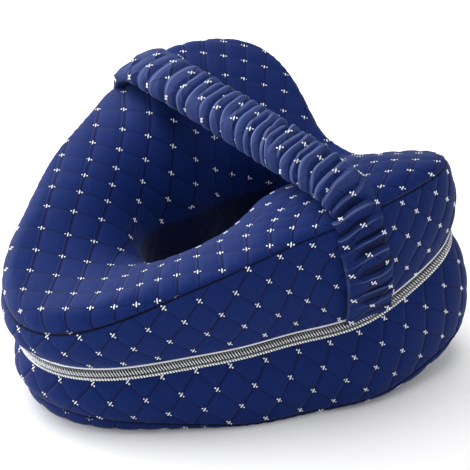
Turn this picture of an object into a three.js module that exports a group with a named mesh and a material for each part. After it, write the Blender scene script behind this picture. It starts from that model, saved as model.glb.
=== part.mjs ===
// A contoured knee pillow: a rounded, heart-shaped wedge of foam in a quilted cloth cover.
// A hole goes through its middle, a zip runs round its waist, and a gathered strap crosses
// the channel that the leg lies in. Millimetres, +Z up, the nose towards -Y, X across the channel.
import * as THREE from "three";

// One row for each section of the cushion, by its angle round the hole from the nose, in degrees:
// the outline's radius, the seam's height above the waist, the crown's rise above the seam, the
// crest's place as a share of the radius, the zip's rise off the waist plane and the hole's radius.
// The lower half repeats the upper one upside down.
const SECTIONS = [
  { angle: 0, radius: 157, seam: 27, crown: 14.5, crest: 0.93, zip: 0.5, hole: 59 },
  { angle: 20, radius: 141, seam: 35, crown: 12.5, crest: 0.88, zip: -1, hole: 58 },
  { angle: 40, radius: 118.5, seam: 48, crown: 7.5, crest: 0.83, zip: -2.5, hole: 52 },
  { angle: 60, radius: 109, seam: 57, crown: 4.5, crest: 0.81, zip: -4, hole: 40 },
  { angle: 80, radius: 108, seam: 62, crown: 6, crest: 0.74, zip: -7, hole: 33 },
  { angle: 100, radius: 118.5, seam: 64.5, crown: 7.5, crest: 0.79, zip: -7, hole: 33.5 },
  { angle: 120, radius: 131.5, seam: 60, crown: 9.5, crest: 0.84, zip: -1, hole: 38 },
  { angle: 140, radius: 132, seam: 48.5, crown: 5, crest: 0.62, zip: 4, hole: 44 },
  { angle: 160, radius: 98, seam: 29, crown: 5, crest: 0.66, zip: 2, hole: 49 },
  { angle: 180, radius: 88, seam: 23, crown: 3.5, crest: 0.62, zip: -1, hole: 51 },
];
const BOWL_STEEP = 0.8;
const BOWL_FLAT = 0.62;
const EDGE_REACH = 0.6;
const EDGE_DROP = 0.55;
const SEAM_INSET = 3;
const BULGE_AT = 0.45;
const WAIST_PINCH = 5.9;

// How the cushion lies: its waist plane tips down to the nose, and it settles on the floor.
const TILT = 10.7;
const HOLE_HEIGHT = 67;

// The cover's quilting: half of a diamond's diagonal, its offset across and along the panels, how
// far its points stand from the cloth, and the distance over which it fades out towards a seam.
const QUILT_HALF = 11.4;
const QUILT_ACROSS = 5.7;
const QUILT_ALONG = 6.7;
const PUFF_RISE = 0.6;
const LINE_SINK = 0.5;
const CROSSING_SINK = 0.9;
const SEAM_FADE = 12;

// The zip lies in a slot round the waist, and the slot closes to a plain seam on the -X side.
const SLOT_HALF = 5.6;
const SLOT_DEPTH = 2.6;
const PLAIN_SEAM_HALF = 1;
const PLAIN_SEAM_DEPTH = 0.8;
const PLAIN_AT = -90;
const PLAIN_HALF_ANGLE = 25;
const PLAIN_FADE = 5;
const ZIP_GAP = 0.45;
const CHAIN_HALF = 2.7;
const CHAIN_CROWN_HALF = 1.5;
const CHAIN_PROUD = 0.5;
const CHAIN_SHOULDER = 0.7;
const TAPE_SUNK = 0.3;

// The strap, in the plane across the channel: a row for each station from the middle to its end,
// with its distance from the middle, its height above the waist plane, its half width along the
// channel, its half thickness, how far its gathers stand out and its lean with the side's outline.
// The gathers bow across the strap, and their spacing and depth wander along it.
const STRAP_PLACE = 13;
const STRAP = [
  { across: 0, height: 83.5, halfWidth: 13, halfThick: 7, gather: 1.7, lean: 0 },
  { across: 32, height: 83, halfWidth: 13, halfThick: 7, gather: 1.7, lean: 0 },
  { across: 64, height: 81.7, halfWidth: 13.5, halfThick: 6.6, gather: 1.5, lean: 0 },
  { across: 88, height: 79.9, halfWidth: 13.5, halfThick: 5.2, gather: 1, lean: 0 },
  { across: 105, height: 77, halfWidth: 14, halfThick: 4.4, gather: 0.8, lean: 0.08 },
  { across: 115, height: 71, halfWidth: 14, halfThick: 3.8, gather: 0.6, lean: 0.18 },
  { across: 118.2, height: 63.2, halfWidth: 14, halfThick: 3.4, gather: 0.5, lean: 0.22 },
  { across: 120, height: 49, halfWidth: 14, halfThick: 3.2, gather: 0.45, lean: 0.23 },
  { across: 120.4, height: 34, halfWidth: 14, halfThick: 3, gather: 0.4, lean: 0.23 },
  { across: 118.8, height: 17, halfWidth: 14, halfThick: 2.6, gather: 0.25, lean: 0.23 },
  { across: 115.5, height: 3.5, halfWidth: 14, halfThick: 1.8, gather: 0, lean: 0.23 },
  { across: 113.2, height: -3.5, halfWidth: 14, halfThick: 1.2, gather: 0, lean: 0.23 },
];
const GATHER_PITCH = 9;
const GATHER_BOW = 0.45;
const GATHER_DRIFT = 0.3;
const GATHER_DRIFT_LENGTH = 61;
const GATHER_UNEVEN = 0.35;
const GATHER_UNEVEN_LENGTH = 37;
const STRAP_STEP = 2.25;
const STRAP_SIDES = 14;
const STRAP_SQUARENESS = 0.7;

// How finely the shapes are drawn.
const ANGLE_STEPS = 360;
const OUTLINE_STEPS = 7200;
const BOWL_STEPS = 28;
const EDGE_STEPS = 12;
const EDGING_STEP = 7;
const SIDE_STEPS = 24;
const RING_POINTS = 150;
const HOLE_POINTS = 48;
const HOLE_FLAT_RADIUS = 40;
const RING_MARGIN = 4.2;
const SAME_PLACE = 1;
const SAME_POINT = 1e-3;
const ROUNDING = 1e-9;
const FAR = 1e5;

const CLOTH = { color: 0x1b2a6b, roughness: 0.85, metalness: 0 };
const STRAP_CLOTH = { color: 0x22327a, roughness: 0.8, metalness: 0 };
const TAPE_CLOTH = { color: 0xb9bbc0, roughness: 0.7, metalness: 0 };
const CHAIN_METAL = { color: 0xa8a294, roughness: 0.35, metalness: 0.9 };

const radians = THREE.MathUtils.degToRad;

// A smooth, even curve through one column of the table: a sum of cosines of the angle.
function columnCurve(column) {
  const last = SECTIONS.length - 1;
  const endHalf = (i) => (i === 0 || i === last ? 0.5 : 1);
  const terms = SECTIONS.map((_, k) => {
    const parts = SECTIONS.map(
      (row, j) => endHalf(j) * row[column] * Math.cos((Math.PI * j * k) / last),
    );
    return (2 / last) * endHalf(k) * parts.reduce((sum, part) => sum + part, 0);
  });
  return (angle) => terms.reduce((sum, term, k) => sum + term * Math.cos(k * angle), 0);
}

const curves = {};
for (const column of ["radius", "seam", "crown", "crest", "zip", "hole"]) {
  curves[column] = columnCurve(column);
}

function bezier(a, b, c, d, t) {
  const s = 1 - t;
  return s * s * s * a + 3 * s * s * t * b + 3 * s * t * t * c + t * t * t * d;
}

// A point at an angle round the hole, a radius out and a height above the waist plane.
function around(angle, radius, height) {
  return new THREE.Vector3(radius * Math.sin(angle), -radius * Math.cos(angle), height);
}

// From the cushion's own frame to the part's: tipped down to the nose, and settled flat on the floor.
function settle(point) {
  const placed = point.clone().applyAxisAngle(new THREE.Vector3(1, 0, 0), radians(TILT));
  placed.z = Math.max(placed.z + HOLE_HEIGHT, 0);
  return placed;
}

// The upper panel's section at one angle, from the hole's waist over the crest to the seam, with
// each point's length along the cloth from the crest.
function panelSection(angle) {
  const radius = curves.radius(angle);
  const seam = curves.seam(angle);
  const top = seam + curves.crown(angle);
  const crest = radius * curves.crest(angle);
  const hole = curves.hole(angle);
  const rim = radius - SEAM_INSET;
  const points = [];
  for (let i = 0; i <= BOWL_STEPS; i += 1) {
    const t = i / BOWL_STEPS;
    const r = bezier(hole, hole, crest - BOWL_FLAT * (crest - hole), crest, t);
    points.push({ r, w: bezier(0, BOWL_STEEP * top, top, top, t) });
  }
  for (let i = 1; i <= EDGE_STEPS; i += 1) {
    const t = i / EDGE_STEPS;
    const r = bezier(crest, crest + EDGE_REACH * (rim - crest), rim, rim, t);
    points.push({ r, w: bezier(top, top, seam + EDGE_DROP * (top - seam), seam, t) });
  }
  let length = 0;
  points.forEach((point, i) => {
    const before = points[Math.max(i - 1, 0)];
    length += Math.hypot(point.r - before.r, point.w - before.w);
    point.fromHole = length;
  });
  const toCrest = points[BOWL_STEPS].fromHole;
  points.forEach((point, i) => {
    point.reach = crest + point.fromHole - toCrest;
    point.along = i > BOWL_STEPS ? point.reach : point.r;
  });
  return points;
}

// The side's half section from the zip's slot to a seam: sign 1 is the upper half, -1 the lower.
function sideSection(angle, sign) {
  const lip = curves.zip(angle) + sign * slotHalf(angle);
  const seam = sign * curves.seam(angle);
  const radius = curves.radius(angle);
  const points = [];
  for (let i = 0; i <= SIDE_STEPS; i += 1) {
    const fromSeam = 1 - i / SIDE_STEPS;
    const swell = 1 - fromSeam / BULGE_AT;
    const waist = (fromSeam - BULGE_AT) / (1 - BULGE_AT);
    const draw = fromSeam < BULGE_AT ? SEAM_INSET * swell ** 2 : WAIST_PINCH * waist ** 2;
    points.push({ r: radius - draw, w: THREE.MathUtils.lerp(seam, lip, fromSeam) });
  }
  return points;
}

// How far the zip's slot is open at an angle: 1 along the zip, 0 at the plain seam.
function slotOpen(angle) {
  const fromPlain = Math.acos(Math.cos(angle - radians(PLAIN_AT)));
  const [closed, open] = [PLAIN_HALF_ANGLE - PLAIN_FADE, PLAIN_HALF_ANGLE];
  return THREE.MathUtils.smoothstep(fromPlain, radians(closed), radians(open));
}

function slotHalf(angle) {
  return THREE.MathUtils.lerp(PLAIN_SEAM_HALF, SLOT_HALF, slotOpen(angle));
}

function slotDepth(angle) {
  return THREE.MathUtils.lerp(PLAIN_SEAM_DEPTH, SLOT_DEPTH, slotOpen(angle));
}

// Angles that stand at even distances along the waist's outline, and the outline's length to each.
function evenAngles(count) {
  const fine = OUTLINE_STEPS;
  const lengths = [0];
  let before = around(-Math.PI, curves.radius(-Math.PI), 0);
  for (let i = 1; i <= fine; i += 1) {
    const angle = -Math.PI + (2 * Math.PI * i) / fine;
    const point = around(angle, curves.radius(angle), 0);
    lengths.push(lengths[i - 1] + point.distanceTo(before));
    before = point;
  }
  const angles = [];
  let i = 0;
  for (let k = 0; k < count; k += 1) {
    const wanted = (lengths[fine] * k) / count;
    while (lengths[i + 1] < wanted) i += 1;
    const share = (wanted - lengths[i]) / (lengths[i + 1] - lengths[i]);
    angles.push(-Math.PI + (2 * Math.PI * (i + share)) / fine);
  }
  return { angles, total: lengths[fine] };
}

// A fine grid of samples on the upper panel: the point, its place on the cloth and in a flat ring.
function panelGrid() {
  const columns = [];
  for (let i = 0; i <= ANGLE_STEPS; i += 1) {
    const angle = -Math.PI + (2 * Math.PI * i) / ANGLE_STEPS;
    columns.push(
      panelSection(angle).map(({ r, w, fromHole, reach, along }) => ({
        point: around(angle, r, w),
        cloth: new THREE.Vector2(
          Math.sin(angle) * reach + QUILT_ACROSS,
          -Math.cos(angle) * along + QUILT_ALONG,
        ),
        flat: flatPlace(angle, HOLE_FLAT_RADIUS + fromHole),
      })),
    );
  }
  return columns;
}

// The same for a half of the side, whose cloth is measured along the waist and up from the slot.
function sideGrid(sign, girth) {
  const { angles } = evenAngles(ANGLE_STEPS);
  return [...angles, Math.PI].map((angle, i) => {
    const section = sideSection(angle, sign);
    const turn = -Math.PI + (2 * Math.PI * i) / ANGLE_STEPS;
    return section.map(({ r, w }) => {
      const rise = Math.abs(w - section[0].w);
      return {
        point: around(angle, r, w),
        cloth: new THREE.Vector2((girth * i) / ANGLE_STEPS, rise),
        flat: flatPlace(turn, girth / (2 * Math.PI) + rise),
      };
    });
  });
}

function flatPlace(angle, radius) {
  return new THREE.Vector2(radius * Math.sin(angle), -radius * Math.cos(angle));
}

// Each point of the quilting that falls on a grid, and its lift along the cloth's normal. Whole
// places are crossings and middles of diamonds by turns, and half places are on the stitched lines.
function quiltPoints(grid, outward, half) {
  const found = [];
  for (let i = 0; i + 1 < grid.length; i += 1) {
    for (let j = 0; j + 1 < grid[i].length; j += 1) {
      const quad = [grid[i][j], grid[i + 1][j], grid[i + 1][j + 1], grid[i][j + 1]];
      const normal = new THREE.Vector3().crossVectors(
        quad[2].point.clone().sub(quad[0].point),
        quad[3].point.clone().sub(quad[1].point),
      );
      normal.normalize().multiplyScalar(outward);
      for (const corners of [[quad[0], quad[1], quad[2]], [quad[0], quad[2], quad[3]]]) {
        for (const place of placesInside(corners, half)) {
          const flat = blend(corners.map((corner) => corner.flat), place.shares);
          if (found.some((other) => other.flat.distanceTo(flat) < SAME_PLACE)) continue;
          const point = blend(corners.map((corner) => corner.point), place.shares);
          found.push({ flat, point, lift: normal.clone().multiplyScalar(place.rise) });
        }
      }
    }
  }
  return found;
}

function placesInside(corners, half) {
  const [a, b, c] = corners.map((corner) => [corner.cloth.x / half.x, corner.cloth.y / half.y]);
  const area = (b[0] - a[0]) * (c[1] - a[1]) - (c[0] - a[0]) * (b[1] - a[1]);
  const low = [0, 1].map((k) => Math.ceil(2 * Math.min(a[k], b[k], c[k])));
  const high = [0, 1].map((k) => Math.floor(2 * Math.max(a[k], b[k], c[k])));
  const places = [];
  for (let m = low[0]; m <= high[0]; m += 1) {
    for (let n = low[1]; n <= high[1]; n += 1) {
      if ((m + n) % 2 !== 0) continue;
      const [x, y] = [m / 2, n / 2];
      const second = ((x - a[0]) * (c[1] - a[1]) - (c[0] - a[0]) * (y - a[1])) / area;
      const third = ((b[0] - a[0]) * (y - a[1]) - (x - a[0]) * (b[1] - a[1])) / area;
      const shares = [1 - second - third, second, third];
      if (Math.min(...shares) < -ROUNDING) continue;
      const onLine = m % 2 !== 0;
      const crossing = ((m + n) / 2) % 2 === 0;
      const rise = crossing ? -CROSSING_SINK : PUFF_RISE;
      places.push({ shares, rise: onLine ? -LINE_SINK : rise });
    }
  }
  return places;
}

function blend(vectors, shares) {
  const sum = vectors[0].clone().multiplyScalar(shares[0]);
  sum.addScaledVector(vectors[1], shares[1]);
  return sum.addScaledVector(vectors[2], shares[2]);
}

function distanceToRing(place, ring) {
  let nearest = Infinity;
  ring.forEach((start, i) => {
    const along = ring[(i + 1) % ring.length].clone().sub(start);
    const offset = place.clone().sub(start);
    const share = THREE.MathUtils.clamp(offset.dot(along) / along.lengthSq(), 0, 1);
    nearest = Math.min(nearest, offset.addScaledVector(along, -share).length());
  });
  return nearest;
}

function insideRing(place, ring) {
  let inside = false;
  ring.forEach((a, i) => {
    const b = ring[(i + 1) % ring.length];
    if (a.y > place.y === b.y > place.y) return;
    if (place.x < a.x + ((b.x - a.x) * (place.y - a.y)) / (b.y - a.y)) inside = !inside;
  });
  return inside;
}

// Delaunay triangles of flat points, added one by one, each turned anticlockwise.
function triangulate(places) {
  const outside = [[-FAR, -FAR], [FAR, -FAR], [0, FAR]].map(([x, y]) => new THREE.Vector2(x, y));
  const all = [...places, ...outside];
  const first = places.length;
  let triangles = [withCircle(all, [first, first + 1, first + 2])];
  places.forEach((place, index) => {
    const edges = new Map();
    const kept = [];
    for (const triangle of triangles) {
      if (place.distanceToSquared(triangle.centre) >= triangle.reach) {
        kept.push(triangle);
        continue;
      }
      triangle.corners.forEach((from, k) => {
        const to = triangle.corners[(k + 1) % 3];
        if (!edges.delete(`${to},${from}`)) edges.set(`${from},${to}`, [from, to]);
      });
    }
    for (const [from, to] of edges.values()) kept.push(withCircle(all, [from, to, index]));
    triangles = kept;
  });
  return triangles.map(({ corners }) => corners).filter((corners) => Math.max(...corners) < first);
}

function withCircle(places, corners) {
  const [a, b, c] = corners.map((k) => places[k]);
  const ab = b.clone().sub(a);
  const ac = c.clone().sub(a);
  const scale = 2 * ab.cross(ac);
  const x = (ac.y * ab.lengthSq() - ab.y * ac.lengthSq()) / scale;
  const y = (ab.x * ac.lengthSq() - ac.x * ab.lengthSq()) / scale;
  return { corners, centre: new THREE.Vector2(a.x + x, a.y + y), reach: x * x + y * y };
}

// The quilted cloth between two rings of points, with more rings between them where it is rounded:
// the rings first, then the quilting's own points.
function quiltedCloth(grid, outward, half, inner, outer, between = []) {
  const innerFlat = inner.map(({ flat }) => flat);
  const outerFlat = outer.map(({ flat }) => flat);
  const betweenFlat = between.map(({ flat }) => flat);
  const quilting = [];
  for (const { flat, point, lift } of quiltPoints(grid, outward, half)) {
    const inset = Math.min(distanceToRing(flat, innerFlat), distanceToRing(flat, outerFlat));
    if (inset < RING_MARGIN || distanceToRing(flat, betweenFlat) < RING_MARGIN) continue;
    point.addScaledVector(lift, Math.min(inset / SEAM_FADE, 1));
    quilting.push({ flat, point });
  }
  const all = [...inner, ...outer, ...between, ...quilting];
  const flats = all.map(({ flat }) => flat);
  const triangles = triangulate(flats).filter((corners) => {
    const middle = blend(corners.map((k) => flats[k]), [1 / 3, 1 / 3, 1 / 3]);
    return insideRing(middle, outerFlat) && !insideRing(middle, innerFlat);
  });
  return { points: all.map(({ point }) => point), triangles };
}

// A closed surface put together from sheets of cloth. Points at one place become one.
class Surface {
  constructor() {
    this.points = [];
    this.index = [];
    this.known = new Map();
  }

  add(point) {
    const key = point.toArray().map((value) => Math.round(value / SAME_POINT)).join();
    if (!this.known.has(key)) {
      this.known.set(key, this.points.length);
      this.points.push(point);
    }
    return this.known.get(key);
  }

  sheet(points, triangles, flipped) {
    const ids = points.map((point) => this.add(point));
    for (const [a, b, c] of triangles) {
      this.index.push(ids[a], ids[flipped ? c : b], ids[flipped ? b : c]);
    }
  }

  // A strip between two closed rings of as many points, facing out where the second lies above.
  band(lower, upper) {
    const count = lower.length;
    const triangles = [];
    for (let i = 0; i < count; i += 1) {
      const next = (i + 1) % count;
      triangles.push([i, next, count + next], [i, count + next, count + i]);
    }
    this.sheet([...lower, ...upper], triangles, false);
  }

  geometry() {
    const geometry = new THREE.BufferGeometry();
    const positions = this.points.flatMap((point) => settle(point).toArray());
    geometry.setAttribute("position", new THREE.Float32BufferAttribute(positions, 3));
    geometry.setIndex(this.index);
    geometry.computeVertexNormals();
    return geometry;
  }
}

function cushionGeometry() {
  const surface = new Surface();
  const { angles, total } = evenAngles(RING_POINTS);
  const mirrored = (point) => new THREE.Vector3(point.x, point.y, -point.z);

  // The upper panel, and the lower one as its mirror image.
  const holeRing = Array.from({ length: HOLE_POINTS }, (_, i) => {
    const angle = -Math.PI + (2 * Math.PI * i) / HOLE_POINTS;
    return { point: around(angle, curves.hole(angle), 0), flat: flatPlace(angle, HOLE_FLAT_RADIUS) };
  });
  const [edging, seamRing] = [EDGING_STEP, EDGE_STEPS].map((step) =>
    angles.map((angle) => {
      const { r, w, fromHole } = panelSection(angle)[BOWL_STEPS + step];
      return { point: around(angle, r, w), flat: flatPlace(angle, HOLE_FLAT_RADIUS + fromHole) };
    }),
  );
  const square = new THREE.Vector2(QUILT_HALF, QUILT_HALF);
  const panel = quiltedCloth(panelGrid(), -1, square, holeRing, seamRing, edging);
  surface.sheet(panel.points, panel.triangles, false);
  surface.sheet(panel.points.map(mirrored), panel.triangles, true);

  // The side, in halves that the zip joins. A whole number of diamonds goes round it.
  const diamonds = Math.round(total / (2 * QUILT_HALF));
  const half = new THREE.Vector2(total / (2 * diamonds), QUILT_HALF);
  const lips = {};
  for (const sign of [1, -1]) {
    const rings = [0, SIDE_STEPS].map((step) =>
      angles.map((angle, i) => {
        const section = sideSection(angle, sign);
        const { r, w } = section[step];
        const turn = -Math.PI + (2 * Math.PI * i) / RING_POINTS;
        const rise = Math.abs(w - section[0].w);
        return { point: around(angle, r, w), flat: flatPlace(turn, total / (2 * Math.PI) + rise) };
      }),
    );
    const side = quiltedCloth(sideGrid(sign, total), sign, half, ...rings);
    surface.sheet(side.points, side.triangles, sign > 0);
    lips[sign] = rings[0].map(({ point }) => point);
  }

  // The slot for the zip.
  const floor = (sign) =>
    angles.map((angle) => {
      const radius = curves.radius(angle) - WAIST_PINCH - slotDepth(angle);
      return around(angle, radius, curves.zip(angle) + sign * slotHalf(angle));
    });
  surface.band(lips[-1], floor(-1));
  surface.band(floor(-1), floor(1));
  surface.band(floor(1), lips[1]);
  return surface.geometry();
}

// A closed tube through sections of as many points, with flat ends.
function loft(sections) {
  const surface = new Surface();
  const sides = sections[0].length;
  const triangles = [];
  for (let i = 0; i + 1 < sections.length; i += 1) {
    for (let k = 0; k < sides; k += 1) {
      const next = (k + 1) % sides;
      const [a, b] = [i * sides + k, i * sides + next];
      triangles.push([a, b + sides, b], [a, a + sides, b + sides]);
    }
  }
  const last = (sections.length - 1) * sides;
  for (let k = 1; k + 1 < sides; k += 1) {
    triangles.push([0, k, k + 1], [last, last + k + 1, last + k]);
  }
  surface.sheet(sections.flat(), triangles, false);
  return surface.geometry();
}

// A band of the zip: its section's corners, out from the slot's floor and up from its middle.
function zipBandGeometry(corners) {
  const zipAngles = evenAngles(RING_POINTS).angles.filter((angle) => slotOpen(angle) === 1);
  const start = zipAngles.findIndex((angle) => angle > radians(PLAIN_AT));
  const inOrder = [...zipAngles.slice(start), ...zipAngles.slice(0, start)];
  return loft(
    inOrder.map((angle) => {
      const floor = curves.radius(angle) - WAIST_PINCH - SLOT_DEPTH;
      return corners.map(([out, up]) => around(angle, floor + out, curves.zip(angle) + up));
    }),
  );
}

function chainGeometry() {
  const top = SLOT_DEPTH + CHAIN_PROUD;
  return zipBandGeometry([
    [ZIP_GAP, -CHAIN_HALF],
    [top - CHAIN_SHOULDER, -CHAIN_HALF],
    [top, -CHAIN_CROWN_HALF],
    [top, CHAIN_CROWN_HALF],
    [top - CHAIN_SHOULDER, CHAIN_HALF],
    [ZIP_GAP, CHAIN_HALF],
  ]);
}

function tapeGeometry(sign) {
  const edges = [CHAIN_HALF + ZIP_GAP, SLOT_HALF - ZIP_GAP].map((edge) => sign * edge);
  const [low, high] = sign > 0 ? edges : edges.reverse();
  const top = SLOT_DEPTH - TAPE_SUNK;
  return zipBandGeometry([[ZIP_GAP, low], [top, low], [top, high], [ZIP_GAP, high]]);
}

// The strap's stations from end to end, evenly spaced along its centre line.
function strapStations() {
  const rows = [
    ...STRAP.slice(1).reverse().map((row) => ({ ...row, across: -row.across, lean: -row.lean })),
    ...STRAP,
  ];
  const centres = rows.map(({ across, height }) => new THREE.Vector3(across, 0, height));
  const line = new THREE.CatmullRomCurve3(centres);
  const total = line.getLength();
  const sizes = ["halfWidth", "halfThick", "gather", "lean"];
  const count = Math.round(total / STRAP_STEP);
  return Array.from({ length: count + 1 }, (_, i) => {
    const t = line.getUtoTmapping(i / count);
    const row = Math.min(Math.floor(t * (rows.length - 1)), rows.length - 2);
    const share = t * (rows.length - 1) - row;
    const station = { centre: line.getPoint(t), along: line.getTangent(t), length: (i / count) * total };
    for (const size of sizes) {
      station[size] = THREE.MathUtils.lerp(rows[row][size], rows[row + 1][size], share);
    }
    return station;
  });
}

// The gathered strap: rounded sections with bowed ridges across, flat where it is sewn down.
function strapGeometry() {
  const sections = strapStations().map((station) => {
    const { centre, along, length, halfWidth, halfThick, gather, lean } = station;
    const out = new THREE.Vector3(-along.z, 0, along.x);
    const drift = GATHER_DRIFT * Math.sin((2 * Math.PI * length) / GATHER_DRIFT_LENGTH);
    const uneven = 1 + GATHER_UNEVEN * Math.sin((2 * Math.PI * length) / GATHER_UNEVEN_LENGTH);
    return Array.from({ length: STRAP_SIDES }, (_, k) => {
      const turn = (-2 * Math.PI * k) / STRAP_SIDES;
      const wide = Math.sign(Math.cos(turn)) * Math.abs(Math.cos(turn)) ** STRAP_SQUARENESS;
      const thick = Math.sign(Math.sin(turn)) * Math.abs(Math.sin(turn)) ** STRAP_SQUARENESS;
      const turns = length / GATHER_PITCH + drift + GATHER_BOW * wide ** 2;
      const swell = gather * uneven * Math.sin(2 * Math.PI * turns);
      const point = centre.clone().addScaledVector(out, thick * (halfThick + swell));
      const offset = wide * (halfWidth + swell);
      point.x += lean * offset;
      point.y = STRAP_PLACE + offset;
      return point;
    });
  });
  return loft(sections);
}

function part(name, geometry, look) {
  const mesh = new THREE.Mesh(geometry, new THREE.MeshStandardMaterial(look));
  mesh.name = name;
  return mesh;
}

const pillow = new THREE.Group();
pillow.add(part("cushion", cushionGeometry(), CLOTH));
pillow.add(part("zip_tape_upper", tapeGeometry(1), TAPE_CLOTH));
pillow.add(part("zip_tape_lower", tapeGeometry(-1), TAPE_CLOTH));
pillow.add(part("zip_chain", chainGeometry(), CHAIN_METAL));
pillow.add(part("strap", strapGeometry(), STRAP_CLOTH));

// The origin is on the floor under the middle of the whole.
const middle = new THREE.Box3().setFromObject(pillow).getCenter(new THREE.Vector3());
pillow.position.set(-middle.x, -middle.y, 0);

export default pillow;
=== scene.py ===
import math

import bpy
import numpy as np
from mathutils import Matrix, Vector


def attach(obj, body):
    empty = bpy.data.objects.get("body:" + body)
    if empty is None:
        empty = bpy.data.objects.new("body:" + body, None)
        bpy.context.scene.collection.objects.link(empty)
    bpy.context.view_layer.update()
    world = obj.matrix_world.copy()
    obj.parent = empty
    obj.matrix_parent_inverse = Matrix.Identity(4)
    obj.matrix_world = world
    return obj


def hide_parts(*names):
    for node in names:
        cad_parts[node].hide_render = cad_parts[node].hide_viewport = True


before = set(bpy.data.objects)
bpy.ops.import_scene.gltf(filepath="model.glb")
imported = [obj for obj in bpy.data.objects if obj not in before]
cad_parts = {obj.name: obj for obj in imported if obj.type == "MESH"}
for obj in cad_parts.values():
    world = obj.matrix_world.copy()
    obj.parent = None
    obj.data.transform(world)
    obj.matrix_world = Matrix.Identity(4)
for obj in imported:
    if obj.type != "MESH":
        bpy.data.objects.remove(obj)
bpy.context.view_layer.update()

# Sizes are in millimetres, in the cushion's own frame, whose waist plane is level and whose origin is
# the middle of the hole. settle() takes them to the row frame, in metres.
MM = 0.001
TILT = math.radians(10.7)
HOLE_PLACE = (-0.04, 25.76, 67.0)

# One row for each section of the cushion, by its angle round the hole from the nose.
COLUMNS = ("angle", "radius", "seam", "crown", "crest", "zip", "hole")
SECTIONS = np.array([
    (0, 157, 27, 14.5, 0.93, 0.5, 59),
    (20, 141, 35, 12.5, 0.88, -1, 58),
    (40, 118.5, 48, 7.5, 0.83, -2.5, 52),
    (60, 109, 57, 4.5, 0.81, -4, 40),
    (80, 108, 62, 6, 0.74, -7, 33),
    (100, 118.5, 64.5, 7.5, 0.79, -7, 33.5),
    (120, 131.5, 60, 9.5, 0.84, -1, 38),
    (140, 132, 48.5, 5, 0.62, 4, 44),
    (160, 98, 29, 5, 0.66, 2, 49),
    (180, 88, 23, 3.5, 0.62, -1, 51),
])
BOWL_STEEP = 0.8
BOWL_FLAT = 0.62
EDGE_REACH = 0.6
EDGE_DROP = 0.55
SEAM_INSET = 3.0
BULGE_AT = 0.45
WAIST_PINCH = 5.9

# The quilting: half of a diamond's diagonal, its offset on the panels, and its relief.
QUILT_HALF = 11.4
QUILT_ACROSS = 5.7
QUILT_ALONG = 6.7
PUFF_RISE = 0.85
PUFF_POWER = 3.0
PUFF_BASE = -0.5
FAINT_LINES = 0.7
LINE_PITCH = QUILT_HALF * math.sqrt(2)
TINY = 1e-9

# The seams: the quilting fades out beside them, puckers that wander off their pitch run along them, and the
# cloth is nipped in there, with painted shade along the nip.
SEAM_FADE = 6.0
SEAM_NIP = 0.9
SEAM_NIP_REACH = 1.0
SEAM_SHADE = (0.2, 1.8)
PUCKER_RISE = 0.28
PUCKER_PITCH = 6.7
PUCKER_REACH = 4.0
PUCKER_START = 1.5
PUCKER_WANDER = ((1.7, 41), (1.1, 97))
PUCKER_MEAN = 0.65
PUCKER_SWING = 0.35
PUCKER_BEAT = 59

# The zip's slot, which closes to a plain seam on the -X side.
SLOT_HALF = 4.8
SLOT_DEPTH = 2.6
PLAIN_SEAM_HALF = 1.0
PLAIN_SEAM_DEPTH = 0.8
PLAIN_AT = math.radians(-90)
PLAIN_HALF_ANGLE = math.radians(25)
PLAIN_FADE = math.radians(5)

# The strap, from its middle to its end: across, height, half width, half thickness and lean.
STRAP = np.array([
    (0, 83.5, 14, 9, 0),
    (32, 83, 14, 9, 0),
    (64, 81.6, 14.3, 8.4, 0),
    (86, 79.4, 14.4, 6.8, 0),
    (100, 76, 14.4, 5.4, 0.05),
    (108.5, 70, 14.2, 4.4, 0.12),
    (112.8, 62, 14, 3.6, 0.18),
    (117, 50, 14, 3.2, 0.22),
    (120.4, 34, 14, 3, 0.23),
    (118.8, 17, 14, 2.6, 0.23),
    (115.5, 3.5, 14, 1.8, 0.23),
    (113.2, -3.5, 14, 1.2, 0.23),
])


def column_curve(values):
    """A smooth, even curve through one column of the table: a sum of cosines of the angle."""
    last = len(values) - 1
    k = np.arange(last + 1)
    ends = np.ones(last + 1)
    ends[[0, last]] = 0.5
    terms = 2 / last * ends * (np.cos(np.pi * np.outer(k, k) / last) @ (ends * values))
    return lambda angle: np.cos(np.multiply.outer(angle, k)) @ terms


curve = {name: column_curve(SECTIONS[:, i]) for i, name in enumerate(COLUMNS) if i}


def bezier(a, b, c, d, t):
    s = 1 - t
    return s ** 3 * a + 3 * s ** 2 * t * b + 3 * s * t ** 2 * c + t ** 3 * d


def smoothstep(x, low, high):
    t = np.clip((x - low) / (high - low), 0, 1)
    return t * t * (3 - 2 * t)


def around(angle, radius, height):
    return np.stack([radius * np.sin(angle), -radius * np.cos(angle), height], axis=-1)


def settle(points):
    """From the cushion's frame to the row frame: tipped to the nose, flat on the floor, in metres."""
    x, y, z = np.moveaxis(np.asarray(points, float), -1, 0)
    tipped = np.stack([
        x + HOLE_PLACE[0],
        y * math.cos(TILT) - z * math.sin(TILT) + HOLE_PLACE[1],
        np.maximum(y * math.sin(TILT) + z * math.cos(TILT) + HOLE_PLACE[2], 0),
    ], axis=-1)
    return tipped * MM


def slot_open(angle):
    from_plain = np.arccos(np.clip(np.cos(angle - PLAIN_AT), -1, 1))
    return smoothstep(from_plain, PLAIN_HALF_ANGLE - PLAIN_FADE, PLAIN_HALF_ANGLE)


def slot_half(angle):
    return PLAIN_SEAM_HALF + (SLOT_HALF - PLAIN_SEAM_HALF) * slot_open(angle)


def slot_depth(angle):
    return PLAIN_SEAM_DEPTH + (SLOT_DEPTH - PLAIN_SEAM_DEPTH) * slot_open(angle)


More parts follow.
